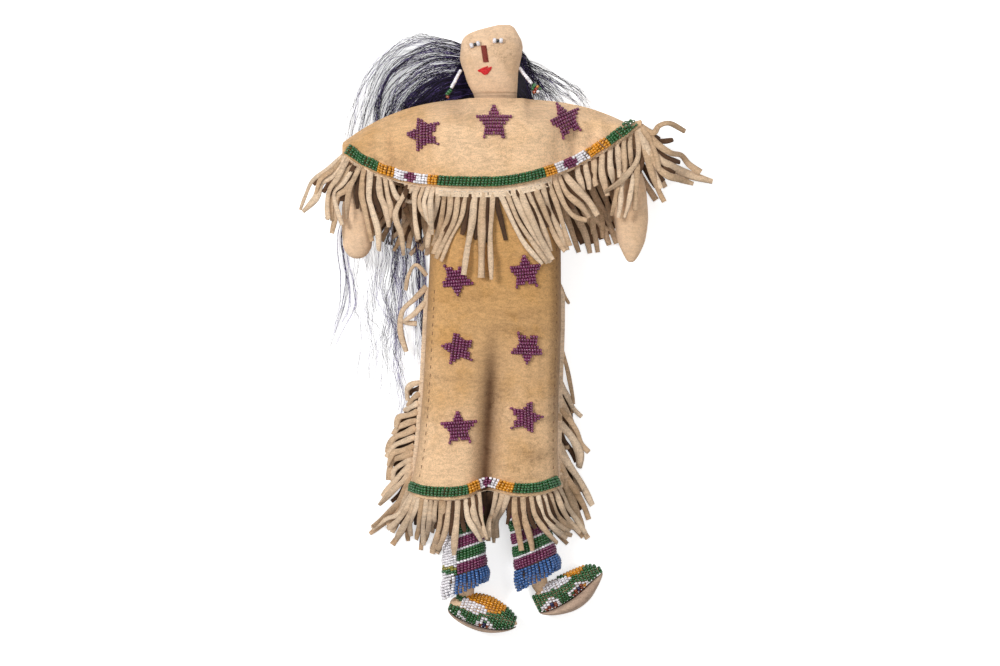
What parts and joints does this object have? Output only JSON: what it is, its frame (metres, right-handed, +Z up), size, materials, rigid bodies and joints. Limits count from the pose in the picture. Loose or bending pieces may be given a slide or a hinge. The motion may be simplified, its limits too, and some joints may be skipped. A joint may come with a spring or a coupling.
{
  "type": "beaded hide doll",
  "caption": "Stuffed hide doll lying on its back, in a fringed dress with bead bands and stars, beaded leggings and moccasins, long hair and bead earrings; head and limbs turn.",
  "frame": {"origin": "on the flat of the dress back that rests on the floor, in the middle of the skirt", "axes": "+Y from the feet to the head, +Z up through the doll's front, +X to the doll's left"},
  "size_m": [0.218, 0.3354, 0.0428],
  "materials": {
    "hide": "soft matt suede",
    "fringe_hide": "soft matt suede",
    "stuffing": "loose fibre",
    "hair": "glossy strands",
    "beads_white": "opaque, glossy",
    "beads_plum": "opaque, glossy",
    "beads_green": "opaque, glossy",
    "beads_blue": "opaque, glossy",
    "beads_amber": "opaque, glossy",
    "thread_red": "satin thread",
    "thread_brown": "satin thread",
    "tin": "bright, rolled"
  },
  "bodies": {
    "torso": {"torso_cover": "hide", "torso_stuffing": "stuffing", "skirt_back": "hide", "skirt_front": "hide", "yoke_back": "hide", "yoke_front": "hide", "yoke_bead_band": "beads_green", "hem_bead_band": "beads_green", "star_yoke_right": "beads_plum", "star_yoke_middle": "beads_plum", "star_yoke_left": "beads_plum", "star_skirt_top_right": "beads_plum", "star_skirt_top_left": "beads_plum", "star_skirt_middle_right": "beads_plum", "star_skirt_middle_left": "beads_plum", "star_skirt_low_right": "beads_plum", "star_skirt_low_left": "beads_plum", "yoke_fringe_front": "fringe_hide", "sleeve_fringe_right": "fringe_hide", "sleeve_fringe_left": "fringe_hide", "yoke_fringe_back": "fringe_hide", "sleeve_back_fringe_right": "fringe_hide", "sleeve_back_fringe_left": "fringe_hide", "hem_fringe_front": "fringe_hide", "hem_fringe_back": "fringe_hide", "side_fringe_left": "fringe_hide", "side_fringe_right": "fringe_hide", "tin_cone": "tin", "hair_loop": "hair", "hair_fall": "hair"},
    "head": {"head_cover": "hide", "head_stuffing": "stuffing", "eye_beads_left": "beads_white", "eye_beads_right": "beads_white", "nose_stitch": "thread_brown", "mouth_stitch": "thread_red", "hair_crown": "hair"},
    "earring_left": {"earring_strand_left": "beads_white", "earring_drop_left": "beads_green"},
    "arm_left": {"arm_cover_left": "hide", "arm_stuffing_left": "stuffing"},
    "leg_left": {"leg_cover_left": "hide", "leg_stuffing_left": "stuffing", "legging_left": "beads_plum", "legging_cuff_left": "beads_blue"},
    "foot_left": {"moccasin_upper_left": "beads_amber", "foot_stuffing_left": "stuffing", "moccasin_sole_left": "hide"},
    "earring_right": {"earring_strand_right": "beads_white", "earring_drop_right": "beads_green"},
    "arm_right": {"arm_cover_right": "hide", "arm_stuffing_right": "stuffing"},
    "leg_right": {"leg_cover_right": "hide", "leg_stuffing_right": "stuffing", "legging_right": "beads_plum", "legging_cuff_right": "beads_blue"},
    "foot_right": {"moccasin_upper_right": "beads_amber", "foot_stuffing_right": "stuffing", "moccasin_sole_right": "hide"}
  },
  "joints": [
    {"name": "neck_turn", "type": "hinge", "parent": "torso", "child": "head", "pos_m": [0.0035, 0.12, 0.014], "axis": [0, 0, 1], "range_deg": [-10, 6]},
    {"name": "earring_swing_left", "type": "hinge", "parent": "head", "child": "earring_left", "pos_m": [0.01586, 0.14469, 0.0163], "axis": [0, 0, 1], "range_deg": [-12, 12]},
    {"name": "earring_swing_right", "type": "hinge", "parent": "head", "child": "earring_right", "pos_m": [-0.01593, 0.14351, 0.0163], "axis": [0, 0, 1], "range_deg": [-14, 3]},
    {"name": "shoulder_swing_left", "type": "hinge", "parent": "torso", "child": "arm_left", "pos_m": [0.037, 0.107, 0.01505], "axis": [0, 0, 1], "range_deg": [-20, 8]},
    {"name": "shoulder_swing_right", "type": "hinge", "parent": "torso", "child": "arm_right", "pos_m": [-0.036, 0.107, 0.01505], "axis": [0, 0, 1], "range_deg": [-8, 16]},
    {"name": "hip_roll_left", "type": "hinge", "parent": "torso", "child": "leg_left", "pos_m": [0.0055, -0.00835, 0.01385], "axis": [0.1639, -0.9865, 0], "range_deg": [0, 90]},
    {"name": "hip_roll_right", "type": "hinge", "parent": "torso", "child": "leg_right", "pos_m": [-0.018, -0.00835, 0.01385], "axis": [0.035, -0.9994, 0], "range_deg": [0, 90]},
    {"name": "ankle_flex_left", "type": "hinge", "parent": "leg_left", "child": "foot_left", "pos_m": [0.0275, -0.1408, 0.01385], "axis": [0, 0, 1], "range_deg": [-14, 3]},
    {"name": "ankle_flex_right", "type": "hinge", "parent": "leg_right", "child": "foot_right", "pos_m": [-0.0132, -0.1452, 0.01385], "axis": [0, 0, 1], "range_deg": [-8, 14]}
  ]
}
